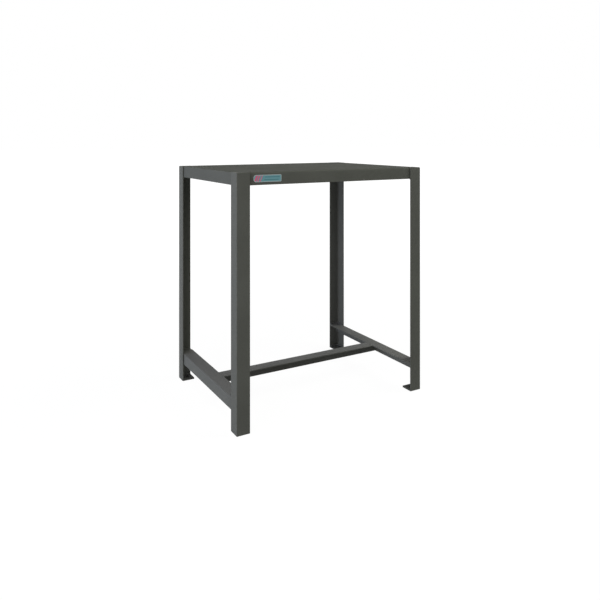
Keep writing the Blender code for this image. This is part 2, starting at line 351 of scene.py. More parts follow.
def add_object(name: str, data: bpy.types.ID) -> bpy.types.Object:
    """Makes an object in the scene.

    Args:
        name: The object's name.
        data: Its mesh, lamp or camera.

    Returns:
        The object.
    """
    made = bpy.data.objects.new(name, data)
    bpy.context.scene.collection.objects.link(made)
    return made


def make_piece(
    name: str,
    points: np.ndarray,
    quads: np.ndarray,
    material: bpy.types.Material,
    slot: Slot,
    stands_for: list[str],
) -> bpy.types.Object:
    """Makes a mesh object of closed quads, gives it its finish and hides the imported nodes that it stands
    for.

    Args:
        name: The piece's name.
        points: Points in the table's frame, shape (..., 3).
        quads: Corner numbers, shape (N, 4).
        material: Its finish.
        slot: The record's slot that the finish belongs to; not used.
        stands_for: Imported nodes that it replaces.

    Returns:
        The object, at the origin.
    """
    if signed_volume(points.reshape(-1, 3), quads) < 0:
        quads = quads[:, ::-1]
    left, faces = tidy_faces(points, quads)
    mesh = bpy.data.meshes.new(name)
    mesh.from_pydata(left.tolist(), [], faces)
    mesh.shade_smooth()
    mesh.set_sharp_from_angle(angle=SHARP_EDGE_ANGLE)
    mesh.materials.append(material)
    piece = add_object(name, mesh)
    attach(piece, BODY)
    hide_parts(*stands_for)
    LOG.info("%s: %d faces, in place of %s", name, len(faces), ", ".join(stands_for))
    return piece


def soften_edges(piece: bpy.types.Object) -> None:
    """Rounds the sharp edges of a piece, as paint does on sawn and sheared steel.

    Args:
        piece: The piece.
    """
    bevel = piece.modifiers.new("softened_edges", "BEVEL")
    bevel.width = PAINTED_EDGE_RADIUS
    bevel.segments = PAINTED_EDGE_SEGMENTS
    bevel.limit_method = "ANGLE"
    bevel.angle_limit = SHARP_EDGE_ANGLE
    bevel.harden_normals = True


@dataclass(frozen=True)
class Noise:
    """A cloudy noise.

    Attributes:
        size: Size of its features.
        detail: Number of its finer layers.
        roughness: How much of each layer's strength the next finer one has.
    """

    size: float
    detail: float = 2.0
    roughness: float = 0.5


class Signal:
    """A socket of a graph's nodes. Sums, products and comparisons of signals add Math nodes."""

    def __init__(self, graph: "Graph", socket: bpy.types.NodeSocket) -> None:
        """Wraps a socket of the graph."""
        self.graph = graph
        self.socket = socket

    def math(self, operation: str, *others: "Signal | float") -> "Signal":
        """This signal and others, in order, through one Math node."""
        return self.graph.math(operation, self, *others)

    def __add__(self, other: "Signal | float") -> "Signal":
        """The sum."""
        return self.math("ADD", other)

    def __sub__(self, other: "Signal | float") -> "Signal":
        """The difference."""
        return self.math("SUBTRACT", other)

    def __rsub__(self, other: float) -> "Signal":
        """A number less this signal."""
        return self.graph.math("SUBTRACT", other, self)

    def __mul__(self, other: "Signal | float") -> "Signal":
        """The product."""
        return self.math("MULTIPLY", other)

    def __abs__(self) -> "Signal":
        """The size without its sign."""
        return self.math("ABSOLUTE")

    __radd__ = __add__
    __rmul__ = __mul__

    def least(self, other: "Signal | float") -> "Signal":
        """The smaller of the two."""
        return self.math("MINIMUM", other)

    def most(self, other: "Signal | float") -> "Signal":
        """The larger of the two."""
        return self.math("MAXIMUM", other)

    def rise(self, low: float, high: float) -> "Signal":
        """0 where the signal is at low, 1 where it is at high and a smooth step between them.

        Args:
            low: Where it starts.
            high: Where it ends, which may be the lower number for a fall.

        Returns:
            The step.
        """
        sockets = {0: self, 1: low, 2: high, 3: 0.0, 4: 1.0}
        return self.graph.signal("ShaderNodeMapRange", sockets, interpolation_type="SMOOTHSTEP")


class Graph:
    """The nodes of a material or of the world."""

    def __init__(self, owner: bpy.types.Material | bpy.types.World) -> None:
        """Switches the owner's nodes on.

        Args:
            owner: What the nodes belong to.
        """
        owner.use_nodes = True
        self.owner = owner
        self.tree = owner.node_tree

    def fill(self, node: bpy.types.Node, sockets: dict) -> None:
        """Links signals to a node's inputs, or sets the inputs to numbers or colours.

        Args:
            node: The node.
            sockets: What goes into its inputs, by name or number.
        """
        for key, value in sockets.items():
            if isinstance(value, Signal):
                self.tree.links.new(value.socket, node.inputs[key])
            else:
                node.inputs[key].default_value = value

    def node(self, kind: str, sockets: dict | None = None, **settings: str) -> bpy.types.Node:
        """Adds a node.

        Args:
            kind: The node's type.
            sockets: What goes into its inputs, by name or number.
            settings: Its properties.

        Returns:
            The node.
        """
        node = self.tree.nodes.new(kind)
        for name, value in settings.items():
            setattr(node, name, value)
        self.fill(node, sockets or {})
        return node

    def signal(
        self, kind: str, sockets: dict | None = None, output: int | str = 0, **settings: str
    ) -> Signal:
        """Adds a node and gives one of its outputs."""
        return Signal(self, self.node(kind, sockets, **settings).outputs[output])

    def math(self, operation: str, *values: Signal | float) -> Signal:
        """The result of one Math node."""
        return self.signal("ShaderNodeMath", dict(enumerate(values)), operation=operation)

    def place(self) -> tuple[Signal, Signal, Signal, Signal]:
        """Reads the point that is shaded.

        Returns:
            The point in the table's frame, as a vector and as its three coordinates.
        """
        point = self.signal("ShaderNodeTexCoord", output="Object")
        split = self.node("ShaderNodeSeparateXYZ", {0: point})
        return (point, *(Signal(self, split.outputs[i]) for i in range(3)))

    def facing_up(self) -> Signal:
        """1 on faces that look straight up, -1 on those that look down."""
        normal = self.signal("ShaderNodeNewGeometry", output="Normal")
        return self.signal("ShaderNodeSeparateXYZ", {0: normal}, output=2)

    def seen(self) -> Signal:
        """Tells the light that the camera sees from the rest.

        Returns:
            1 for light that it sees straight, mirrored or refracted, 0 for the rest.
        """
        path = self.node("ShaderNodeLightPath")
        kinds = ("Is Camera Ray", "Is Glossy Ray", "Is Transmission Ray")
        straight, mirrored, refracted = (Signal(self, path.outputs[kind]) for kind in kinds)
        return straight.most(mirrored).most(refracted)

    def noise(self, point: Signal, kind: Noise) -> Signal:
        """A noise at a point, from 0 to 1."""
        grade = {"Scale": 1 / kind.size, "Detail": kind.detail, "Roughness": kind.roughness}
        return self.signal("ShaderNodeTexNoise", {"Vector": point, **grade})

    def mix(self, share: Signal | float, first: Signal | Colour, second: Signal | Colour) -> Signal:
        """One colour turning to another.

        Args:
            share: Share of the second colour, from 0 to 1.
            first: The first colour.
            second: The second colour.

        Returns:
            The mixed colour.
        """
        colours = [value if isinstance(value, Signal) else (*value, 1.0) for value in (first, second)]
        sockets = {0: share, 6: colours[0], 7: colours[1]}
        return self.signal("ShaderNodeMix", sockets, output=2, data_type="RGBA")

    def relief(self, height: Signal, depth: float) -> Signal:
        """The surface's direction where a height from 0 to 1 raises it by up to a depth."""
        return self.signal("ShaderNodeBump", {"Strength": 1.0, "Distance": depth, "Height": height})

    def surface(self, sockets: dict) -> bpy.types.Node:
        """Sets up the material's Principled shader.

        Args:
            sockets: What goes into its inputs, by name.

        Returns:
            The shader.
        """
        shader = self.tree.nodes["Principled BSDF"]
        self.fill(shader, sockets)
        return shader


@dataclass(frozen=True)
class Wear:
    """How a coat wears. On the outer arrises the same paling is also a painted highlight.

    Attributes:
        reach: Distances between which it sets in, from none to full.
        span: Values of a noise between which its spots set in.
        share: How much of the worn colour it brings out.
    """

    reach: Span
    span: Span
    share: float


@dataclass(frozen=True)
class PowderCoat:
    """A satin powder coat on steel.

    Attributes:
        colour: Its colour.
        level_light_and_dust_colour: Its colour on faces that look up: painted light and shade, with specks of
            dust.
        roughness: Its roughness.
        gloss: Its specular level.
        grain: The fine grain of the coat.
        grain_depth: Depth of that grain.
        peel: The long, low waves of its orange peel.
        cloud: The patches in which its colour drifts.
        speck: The specks in which dust and wear break up.
        scuffs: The scuffs near the floor.
        drift: How far its colour drifts, either way.
        grain_share: Share of the grain in that drift and in the relief.
        level_span: Between what upward slants of a face the painted light and dust of level faces set in.
        level_cover: How much of a level face takes that painted light and dust: where the specks are 0, and
            what they add.
        rubbing_and_highlight: Wear of the outer arrises, which reaches in from them, and a painted highlight
            along them.
        scuffing: Wear near the floor, which reaches up from it.
        worn_tone: How many times as light the worn colour is, which on the outer arrises is also a painted
            highlight.
        uneven: How far the roughness changes with the patches, the specks and the painted light and dust of
            level faces.
    """

    colour: Colour
    level_light_and_dust_colour: Colour
    roughness: float = 0.5
    gloss: float = 0.04
    grain: Noise = Noise(0.0012)
    grain_depth: float = 0.00007
    peel: Noise = Noise(0.0048, 1.0)
    cloud: Noise = Noise(0.11, 3.0)
    speck: Noise = Noise(0.006, 4.0, 0.6)
    scuffs: Noise = Noise(0.012, 5.0, 0.7)
    drift: float = 0.12
    grain_share: float = 0.6
    level_span: Span = (0.6, 0.98)
    level_cover: Span = (0.7, 0.6)
    rubbing_and_highlight: Wear = Wear((0.0022, 0.0004), (0.42, 0.62), 0.3)
    scuffing: Wear = Wear((0.045, 0.004), (0.56, 0.7), 0.35)
    worn_tone: float = 1.7
    uneven: tuple[float, float, float] = (0.12, 0.1, 0.1)

    @staticmethod
    def _toned(colour: Colour, factor: float) -> tuple[float, ...]:
        """A colour made darker or lighter by a factor."""
        return tuple(factor * value for value in colour)

    def _rubbed_and_highlit(self, x: Signal, y: Signal, z: Signal, sizes: TableSizes) -> Signal:
        """How far the coat is worn and painted with a highlight, on the table's outermost arrises.

        Of a point's distances from the outer planes, the second smallest is how far it is from an arris.

        Args:
            x: The point's coordinate across the table.
            y: Its coordinate from front to back.
            z: Its height.
            sizes: The table's sizes.

        Returns:
            1 on an arris, 0 away from it.
        """
        side, front, top = sizes.half_width - abs(x), sizes.half_depth - abs(y), sizes.height - z
        arris = side.least(front).most(side.most(front).least(top))
        return arris.rise(*self.rubbing_and_highlight.reach)

    def material(self, slot: Slot, sizes: TableSizes) -> bpy.types.Material:
        """Builds the finish.

        The colour drifts a little over a hand's breadth and from grain to grain. On faces that look up it
        turns to the level colour, painted light and shade with specks of dust; on the outer arrises it pales
        as wear and as a painted edge highlight, and it is scuffed just above the floor. The relief is the
        grain of the powder on the waves of its orange peel.

        Args:
            slot: The slot that it is for.
            sizes: The table's sizes.

        Returns:
            The material.
        """
        graph = Graph(bpy.data.materials.new(slot.value))
        point, x, y, z = graph.place()
        cloud = graph.noise(point, self.cloud).rise(*NOISE_SPAN)
        speck = graph.noise(point, self.speck)
        grain = graph.noise(point, self.grain).rise(*NOISE_SPAN)
        peel = graph.noise(point, self.peel).rise(*NOISE_SPAN)

        # Faces that look up take the level colour: painted light and shade of how light falls on them, with
        # specks of dust.
        even_cover, speck_cover = self.level_cover
        level = graph.facing_up().rise(*self.level_span) * (even_cover + speck_cover * speck).least(1.0)
        # The outer arrises pale as wear and also as a painted edge highlight.
        rubbed_and_highlit = self._rubbed_and_highlit(x, y, z, sizes) * speck.rise(*self.rubbing_and_highlight.span)
        scuffs = graph.noise(point, self.scuffs).rise(*self.scuffing.span)
        scuffed = z.rise(*self.scuffing.reach) * scuffs
        rest_share = 1 - self.grain_share
        tone = rest_share * cloud + self.grain_share * grain
        upright, flat = (
            graph.mix(tone, self._toned(shade, 1 - self.drift), self._toned(shade, 1 + self.drift))
            for shade in (self.colour, self.level_light_and_dust_colour)
        )
        colour = graph.mix(level, upright, flat)
        # The worn colour is wear, and on the outer arrises it is also a painted highlight.
        worn = rubbed_and_highlit * self.rubbing_and_highlight.share + scuffed * self.scuffing.share
        colour = graph.mix(worn, colour, self._toned(self.colour, self.worn_tone))

        by_cloud, by_speck, by_level = self.uneven
        roughness = self.roughness + by_cloud * (cloud - 0.5) + by_speck * (speck - 0.5) + by_level * level
        graph.surface(
            {
                "Base Color": colour,
                "Roughness": roughness,
                "Specular IOR Level": self.gloss,
                "Normal": graph.relief(grain * self.grain_share + peel * rest_share, self.grain_depth),
            }
        )
        return graph.owner


@dataclass(frozen=True)
class LabelPrint:
    """A small printed plate: a pale border round a dark field, leaning bars, two rules and no lettering.

    Attributes:
        border: Colour of the border.
        accent: Colour of the bars.
        ground: Colour of the field.
        rule_tone: Colour of the rules.
        border_width: Width of the border.
        bars: Number of the bars.
        bars_from: Distance of the first bar's middle from the plate's left end.
        bar_pitch: Distance from one bar's middle to the next.
        bar_width: Width of the first bar.
        bar_loss: How much narrower each bar is than the one before.
        slant: How far the bars lean over a unit of height.
        rules_from: Where the rules start, from the plate's left end.
        rules_end: Where they stop, from its right end.
        rule_height: How far the rules lie above and below the middle.
        rule_width: Width of the rules.
        blur: Half the width over which the ink's edges fade.
        ink_depth: How far the field lies below the border.
        wear: The worn spots.
        wear_span: Values of that noise between which they set in.
        wear_share: How far the worn spots pale, and how much rougher they are.
        wear_sink: Share of the depth that the worn spots take.
        roughness: The print's roughness.
        gloss: Its specular level.
    """

    border: Colour = (0.33, 0.385, 0.39)
    accent: Colour = (0.54, 0.085, 0.185)
    ground: Colour = (0.103, 0.258, 0.285)
    rule_tone: Colour = (0.035, 0.12, 0.145)
    border_width: float = 0.0018
    bars: int = 3
    bars_from: float = 0.007
    bar_pitch: float = 0.0078
    bar_width: float = 0.006
    bar_loss: float = 0.0018
    slant: float = 0.4
    rules_from: float = 0.032
    rules_end: float = 0.007
    rule_height: float = 0.0036
    rule_width: float = 0.0016
    blur: float = 0.00015
    ink_depth: float = 0.00006
    wear: Noise = Noise(0.004, 3.0)
    wear_span: Span = (0.62, 0.8)
    wear_share: float = 0.15
    wear_sink: float = 0.2
    roughness: float = 0.35
    gloss: float = 0.4

    def _within(self, distance: Signal, half: float) -> Signal:
        """1 where a distance is smaller than half a width, 0 outside, with the ink's blur between."""
        return (distance - half).rise(self.blur, -self.blur)

    def material(self, slot: Slot, plate: "LabelPlate") -> bpy.types.Material:
        """Builds the print on the plate's front.

        Args:
            slot: The slot that it is for.
            plate: The plate, whose outline the border follows.

        Returns:
            The material.
        """
        low, high = plate.box()
        half_x, half_z = (high[0] - low[0]) / 2, (high[2] - low[2]) / 2
        graph = Graph(bpy.data.materials.new(slot.value))
        point, x, _, z = graph.place()
        across, up = x - (low[0] + half_x), z - (low[2] + half_z)
        edge = self._outline_distance(across, up, half_x, half_z, plate)
        inner = (edge + self.border_width).rise(self.blur, -self.blur)

        leaning = across + half_x - up * self.slant
        colour = self.ground
        for number in range(self.bars):
            middle = self.bars_from + number * self.bar_pitch
            bar = self._within(abs(leaning - middle), (self.bar_width - number * self.bar_loss) / 2)
            colour = graph.mix(bar, colour, self.accent)
        rules = self._within(abs(abs(up) - self.rule_height), self.rule_width / 2)
        rules_middle = (self.rules_from + 2 * half_x - self.rules_end) / 2
        rules_half = (2 * half_x - self.rules_end - self.rules_from) / 2
        rules = rules * self._within(abs(leaning - rules_middle), rules_half)
        colour = graph.mix(rules, colour, self.rule_tone)
        colour = graph.mix(inner, self.border, colour)
        wear = graph.noise(point, self.wear).rise(*self.wear_span)
        colour = graph.mix(wear * self.wear_share, colour, self.border)
        height = 1 - inner * (1 - self.wear_sink) - wear * self.wear_sink
        graph.surface(
            {
                "Base Color": colour,
                "Roughness": self.roughness + self.wear_share * wear,
                "Specular IOR Level": self.gloss,
                "Normal": graph.relief(height, self.ink_depth),
            }
        )
        return graph.owner

    @staticmethod
    def _outline_distance(
        across: Signal, up: Signal, half_x: float, half_z: float, plate: "LabelPlate"
    ) -> Signal:
        """Distance from the plate's rounded outline, less than 0 inside it.

        With q the distances past the centres of the corners' arcs, it is the length of the positive parts
        of q, plus the larger of q where that is negative, less the corner's radius.

        Args:
            across: Distance from the plate's middle, to the right.
            up: Distance from its middle, upwards.
            half_x: Half its width.
            half_z: Half its height.
            plate: The plate, with its corners' radii.

        Returns:
            The distance.
        """
        on_right = across.math("GREATER_THAN", 0.0)
        radius = plate.left_radius + (plate.right_radius - plate.left_radius) * on_right
        q_x, q_z = abs(across) - half_x + radius, abs(up) - half_z + radius
        past_x, past_z = q_x.most(0.0), q_z.most(0.0)
        return (past_x * past_x + past_z * past_z).math("SQRT") + q_x.most(q_z).least(0.0) - radius


@dataclass(frozen=True)
class AngleSection:
    """Section of rolled angle with its heel at the origin and its flanges along +X and +Y.

    Attributes:
        reach_x: Width of the flange along X.
        reach_y: Width of the flange along Y.
        wall: Thickness of both flanges.
        across: Points of the grid from the outer line to the inner one.
        steps: Points of the grid along each of the arcs.
        snip_x: Where along X a line of the grid lies for a snip's start, or None.
    """

    reach_x: float
    reach_y: float
    wall: float
    across: int = 3
    steps: int = 4
    snip_x: float | None = None

    @property
    def split(self) -> float:
        """How far from the heel along Y a level line of the grid lies, just past the other flange."""
        return self.wall + SEAT_GAP

    def _toe(self, reach: float) -> np.ndarray:
        """Distances along a flange's last stretch, over its rounded toe, from the toe inwards."""
        angle = np.linspace(QUARTER_TURN, 0, self.steps)
        return reach - TOE_RADIUS + TOE_RADIUS * np.sin(angle)

    def grid(self) -> tuple[np.ndarray, int]:
        """Pairs points of the outer line with points of the inner one, and fills in between them.

        From the toe of the flange along Y, both lines run over the rounded toe, down the flat and round
        the corner to the toe of the flange along X. The heel is an arc about (heel, heel) and the root an
        arc about (wall + root, wall + root). One pair lies level at the split. Opposite the toes the outer
        line's points are evenly spaced, so there is room beside them for the softened edge.

        Returns:
            Points of shape (U, W, 2), and the number in U of the pair at the split.
        """
        steps, wall, reach_x, reach_y = self.steps, self.wall, self.reach_x, self.reach_y
        centre = wall + ROOT_RADIUS
        at_split = 2 * QUARTER_TURN - math.asin((self.split - centre) / ROOT_RADIUS)
        upper = np.linspace(2 * QUARTER_TURN, at_split, steps)
        lower = np.linspace(at_split, 3 * QUARTER_TURN, steps + 1)[1:]
        heel = np.linspace(2 * QUARTER_TURN, 3 * QUARTER_TURN, steps)
        toe_y, toe_x = self._toe(reach_y), self._toe(reach_x)[::-1]
        over_toe = toe_y - reach_y + TOE_RADIUS
        bulge = TOE_RADIUS - np.sqrt(np.maximum(TOE_RADIUS**2 - over_toe**2, 0))
        snip = np.array([] if self.snip_x is None else [self.snip_x])
        outer = np.concatenate([
            points_of(0.0, np.linspace(reach_y, reach_y - TOE_RADIUS, steps)),
            points_of(0.0, np.linspace(centre, self.split, steps)),
            arc(HEEL_RADIUS, HEEL_RADIUS, heel),
            points_of(snip, 0.0),
            points_of(np.linspace(reach_x - TOE_RADIUS, reach_x, steps), 0.0),
        ])
        inner = np.concatenate([
            points_of(wall - bulge, toe_y),
            arc(centre, ROOT_RADIUS, upper),
            arc(centre, ROOT_RADIUS, lower),
            points_of(snip, wall),
            points_of(toe_x, wall - bulge[::-1]),
        ])
        return between(outer, inner, self.across), 2 * steps - 1


def cope_depth(distance: np.ndarray) -> np.ndarray:
    """How far a piece stops short of a face, at a distance from the other face of the angle round it.

    Past the root it keeps the seat gap. Over the root it follows the root's arc, the seat gap off it: the
    depth is the root radius less the square root of (root - gap) squared less (root - distance) squared.

    Args:
        distance: Distances from the other face.

    Returns:
        Depths.
    """
    rounded = (ROOT_RADIUS - SEAT_GAP) ** 2 - (ROOT_RADIUS - np.minimum(distance, ROOT_RADIUS)) ** 2
    return ROOT_RADIUS - np.sqrt(np.maximum(rounded, 0))


@dataclass
class Part(ABC):
    """A piece of the table, which is drawn as closed quads.

    Attributes:
        node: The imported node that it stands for.
        sizes: The table's sizes.
        slot: The record's slot that its finish belongs to.
        renamed: What its own name has instead of a part of the node's name.
        softened: Whether its sharp edges are softened.
    """

    node: str
    sizes: TableSizes
    slot: ClassVar[Slot]
    renamed: ClassVar[tuple[str, str]]
    softened: ClassVar[bool] = True

    @abstractmethod
    def shape(self) -> tuple[np.ndarray, np.ndarray]:
        """Its points in the table's frame and the corner numbers of its quads."""

    def build(self, material: bpy.types.Material) -> bpy.types.Object:
        """Makes the piece.

        Args:
            material: Its finish.

        Returns:
            The piece.
        """
        points, quads = self.shape()
        name = self.node.replace(*self.renamed)
        piece = make_piece(name, points, quads, material, self.slot, [self.node])
        if self.softened:
            soften_edges(piece)
        return piece


@dataclass
class Leg(Part):
    """A full-height angle leg, its outermost top corner ground round.

    Attributes:
        corner: Its corner.
        across: Points of the grid through its wall.
        levels: Heights of the grid's levels in shares of the leg's, close together near the rounded top.
    """

    slot: ClassVar[Slot] = Slot.leg
    renamed: ClassVar[tuple[str, str]] = ("leg", "angle_leg")
    corner: Corner
    across: int = 5
    levels: tuple[float, ...] = (0.0, 0.25, 0.5, 0.75, 0.95, 1.0)

    def shape(self) -> tuple[np.ndarray, np.ndarray]:
        """Carries the angle's section up from the floor to the top.

        The top is at the height, less what an arc of the rounding's radius takes off along the diagonal
        through the spine.

        Returns:
            The points and the quads.
        """
        sizes = self.sizes
        flange = sizes.leg_flange
        section, _ = AngleSection(flange, flange, sizes.wall, across=self.across).grid()
        outward = -(section[..., 0] + section[..., 1]) / math.sqrt(2)
        over = np.clip(outward + LEG_TOP_ROUNDING, 0, LEG_TOP_ROUNDING)
        top = sizes.height - LEG_TOP_ROUNDING + np.sqrt(LEG_TOP_ROUNDING**2 - over**2)
        points = raised(section[..., None, :], top[..., None] * np.array(self.levels))
        return sizes.at_corner(points, self.corner), block_skin(points)


@dataclass
class SideStretcher(Part):
    """An angle from the front leg to the back leg on one side, coped round the legs' roots.

    Its top flange is wider than what is left of a leg's flange, so its toe is snipped back at both ends to
    end behind the leg's.

    Attributes:
        side: Its side of the table.
        runs: Points of the grid along it.
    """

    slot: ClassVar[Slot] = Slot.stretcher
    renamed: ClassVar[tuple[str, str]] = ("stretcher", "angle")
    side: Side
    runs: int = 7

    def shape(self) -> tuple[np.ndarray, np.ndarray]:
        """Carries the section from leg to leg, each point's run ending at the cope's depth there.

        Past the leg's toe the run ends sooner, by the snip's length times the share of the way to its own
        toe.

        Returns:
            The points and the quads.
        """
        sizes = self.sizes
        reach, clear = sizes.stretcher_reach, sizes.leg_flange - sizes.inset
        section, _ = AngleSection(reach, sizes.stretcher_drop, sizes.wall, snip_x=clear).grid()
        snip = TOE_SNIP * np.clip((section[..., 0] - clear) / (reach - clear), 0, 1)
        half = sizes.half_depth - sizes.wall - cope_depth(section[..., 0] + SEAT_GAP) - snip
        points = points_of(
            self.side.value * (sizes.half_width - sizes.inset - section[..., 0, None]),
            half[..., None] * np.linspace(-1, 1, self.runs),
            sizes.stretcher_height - section[..., 1, None],
        )
        return points, block_skin(points)


@dataclass
class CentreStretcher(Part):
    """The angle between the side stretchers: its top butts theirs and its side flange passes under them.

    Attributes:
        runs: Points of the grid along its top flange.
    """

    slot: ClassVar[Slot] = Slot.stretcher
    renamed: ClassVar[tuple[str, str]] = ("stretcher", "angle")
    runs: int = 7

    def shape(self) -> tuple[np.ndarray, np.ndarray]:
        """Carries the section from side to side and leaves out, near the ends, what the sides hold.

        The runs end at the side stretchers' upright flanges, at the cope's depth below their top flanges,
        and past the side stretchers' toes only the cells below the split are kept.

        Returns:
            The points and the quads.
        """
        sizes = self.sizes
        section, split = AngleSection(sizes.stretcher_reach, sizes.stretcher_drop, sizes.wall).grid()
        butt = sizes.half_width - sizes.inset - sizes.stretcher_reach - SEAT_GAP
        below = np.maximum(section[..., 1] - sizes.wall, SEAT_GAP)
        end = (sizes.stretcher_face - cope_depth(below))[..., None]
        middle = np.broadcast_to(butt * np.linspace(-1, 1, self.runs), (*end.shape[:-1], self.runs))
        runs = np.concatenate([-end, middle, end], -1)
        back, top = sizes.centre_back, sizes.stretcher_height
        points = points_of(runs, back - section[..., 0, None], top - section[..., 1, None])
        keep = all_cells(points)
        keep[split:, :, [0, -1]] = False
        return points, block_skin(points, keep)


@dataclass
class PanTop(Part):
    """The sheet folded down on four sides, its flanges parted at the corners by mitred seams.

    Attributes:
        corner_steps: Points of the grid round half a corner.
        bend_steps: Points of the grid round the bend.
        flange_steps: Points of the grid up a flange.
    """

    slot: ClassVar[Slot] = Slot.top
    renamed: ClassVar[tuple[str, str]] = ("table_top", "folded_pan")
    corner_steps: int = 4
    bend_steps: int = 9
    flange_steps: int = 5

    def _ring(self, distance: np.ndarray) -> np.ndarray:
        """Points of rings at distances from the pan's core, a rectangle through its corners' centres.

        Each corner turns about its centre by a quarter. Its two middle angles lie half a seam's width from
        the diagonal, so the seam's walls are parallel.

        Args:
            distance: Distances from the core, any shape.

        Returns:
            Points in plan of that shape and (ring, 2), closed.
        """
        lean = np.arcsin(PAN_SEAM / 2 / np.maximum(distance, PAN_SEAM))[..., None]
        first = (QUARTER_TURN / 2 - lean) * np.linspace(0, 1, self.corner_steps)
        turn = np.concatenate([first, QUARTER_TURN - first[..., ::-1]], -1)
        core_x = self.sizes.half_width - self.sizes.inset - PAN_CORNER_RADIUS
        core_y = self.sizes.half_depth - self.sizes.inset - PAN_CORNER_RADIUS
        rings = [
            arc(np.array([side_x * core_x, side_y * core_y]), distance[..., None, None], turn + start)
            for (side_x, side_y), start in zip(QUADRANTS, np.arange(4) * QUARTER_TURN)
        ]
        return np.concatenate([*rings, rings[0][..., :1, :]], -2)

    def shape(self) -> tuple[np.ndarray, np.ndarray]:
        """Carries the folded sheet's profile round the pan.

        The outer line runs up the flange, round the bend and in to the core; the inner line runs the
        sheet's thickness inside it. The cells at the seams are left out below the bend, and two flat faces
        close the core.

        Returns:
            The points and the quads.
        """
        sizes = self.sizes
        bend_height = sizes.height - PAN_BEND_RADIUS
        flange = np.linspace(sizes.pan_bottom, bend_height, self.flange_steps)
        angle = np.linspace(0, QUARTER_TURN, self.bend_steps)[1:]
        layers = []
        for depth in (0.0, PAN_SHEET):
            radius = PAN_BEND_RADIUS - depth
            bend = PAN_CORNER_RADIUS - PAN_BEND_RADIUS + radius * np.cos(angle)
            upright = np.full(self.flange_steps, PAN_CORNER_RADIUS - depth)
            ring = self._ring(np.concatenate([upright, bend, [0.0]]))
            height = np.concatenate([flange, bend_height + radius * np.sin(angle), [sizes.height - depth]])
            layers.append(raised(ring, height[:, None]))
        points = np.stack(layers, 2).transpose(1, 0, 2, 3)

        corner_points = 2 * self.corner_steps
        keep = all_cells(points)
        keep[self.corner_steps - 1 :: corner_points, : self.flange_steps - 1] = False
        quads = block_skin(points, keep, wraps=True)
        number = numbered(points)
        rim = np.isin(quads, number[:, -1]).all(1)
        core = number[:-1:corner_points, -1]
        return points, np.concatenate([quads[~rim], core[None, ::-1, 0], core[None, :, 1]])


@dataclass
class FootPad(Part):
    """A square plate in the foot of a leg, with a round hole through its middle.

    Attributes:
        corner: Its corner.
        steps: Points of the grid along half a side.
        across: Points of the grid from the hole to the outline.
    """

    slot: ClassVar[Slot] = Slot.pad
    renamed: ClassVar[tuple[str, str]] = ("foot_pad", "pad_plate")
    corner: Corner
    steps: int = 8
    across: int = 4

    def shape(self) -> tuple[np.ndarray, np.ndarray]:
        """Fills the plate between the circle of its hole and its square outline, paired by direction.

        The outline's corner at the leg's root is an arc of the root radius less the seat gap.

        Returns:
            The points and the quads.
        """
        sizes = self.sizes
        low, high = sizes.inset, sizes.leg_flange
        middle, half = (low + high) / 2, (high - low) / 2
        round_root = ROOT_RADIUS - SEAT_GAP
        side = points_of(half, np.linspace(-1, 1, 2 * self.steps + 1)[:-1] * half)
        swapped = side[:, ::-1]
        outline = np.concatenate([side, swapped * (-1, 1), -side, swapped * (1, -1)])
        to_centre = outline + half - round_root
        inside_arc = (to_centre < 0).all(1)
        onto_arc = round_root / np.maximum(np.linalg.norm(to_centre, axis=1), round_root)
        rounded = to_centre * onto_arc[:, None] - half + round_root
        outline = np.where(inside_arc[:, None], rounded, outline)
        outline = np.concatenate([outline, outline[:1]])
        hole = outline / np.linalg.norm(outline, axis=1)[:, None] * PAD_HOLE_DIAMETER / 2
        plan = between(hole, outline, self.across) + middle
        points = raised(plan[..., None, :], np.array([0.0, sizes.pad_thickness]))
        return sizes.at_corner(points, self.corner), block_skin(points, wraps=True)


@dataclass(frozen=True)
class Bead:
    """The shape of a weld bead with overlapping ripples.

    Attributes:
        leg: Its width along each of the faces that it joins.
        phase: Where the ripples start, which makes two beads differ.
        crown: How far its face stands over a straight line between its toes.
        pitch: Length of one ripple.
        ripple: Height of the ripples.
        lean: How far a ripple leans back in the middle of the face, in shares of the pitch.
        sway: Share by which its width sways, and the length of a radian of that wave.
        sway_turn: How far the sway is turned by a phase of one ripple, in radians.
        tremor: Share by which its width trembles, and the length of a radian of that wave.
        taper: Length over which it thins towards each end.
        end_share: Share of the section that is left at the very ends.
        face_steps: Points across its face.
    """

    leg: float
    phase: float = 0.0
    crown: float = 0.0005
    pitch: float = 0.0019
    ripple: float = 0.00022
    lean: float = 0.45
    sway: Span = (0.05, 0.0061)
    sway_turn: float = 9.0
    tremor: Span = (0.03, 0.0023)
    taper: float = 0.004
    end_share: float = 0.35
    face_steps: int = 9

    def section(self, along: np.ndarray, length: float) -> np.ndarray:
        """The bead's section at distances along it.

        Across the face, a share t from 0 to 1 goes from one toe to the other on a straight line, plus the
        crown times 4 t (1 - t). A ripple is half a wave that leans back towards the toes, and the bead's
        width sways and trembles by a few hundredths. At both ends the section shrinks as a quarter circle
        over the taper, down to the end's share.

        Args:
            along: Distances from one end, shape (S,).
            length: The bead's whole length.

        Returns:
            Distances from the two faces, shape (S, P, 2), the first point of each in the corner.
        """
        t = np.linspace(0, 1, self.face_steps)[None, :]
        s = along[:, None]
        bow = 4 * t * (1 - t)
        wave = np.abs(np.sin(math.pi * ((s + self.phase) / self.pitch + self.lean * bow)))
        (sway, sway_length), (tremor, tremor_length) = self.sway, self.tremor
        turned = self.sway_turn * self.phase / self.pitch
        width = 1 + sway * np.sin(s / sway_length + turned) + tremor * np.sin(s / tremor_length)
        end = np.clip(np.minimum(s, length - s) / self.taper, 0, 1)
        rounded = np.sqrt(np.clip(1 - (1 - end) ** 2, 0, 1))
        left = self.end_share + (1 - self.end_share) * rounded
        leg = self.leg * width * left
        rise = (self.crown * bow + self.ripple * wave * np.sqrt(bow)) * left
        face = points_of(leg * (1 - t) + rise, leg * t + rise)
        return np.concatenate([np.zeros((len(along), 1, 2)), face], 1)


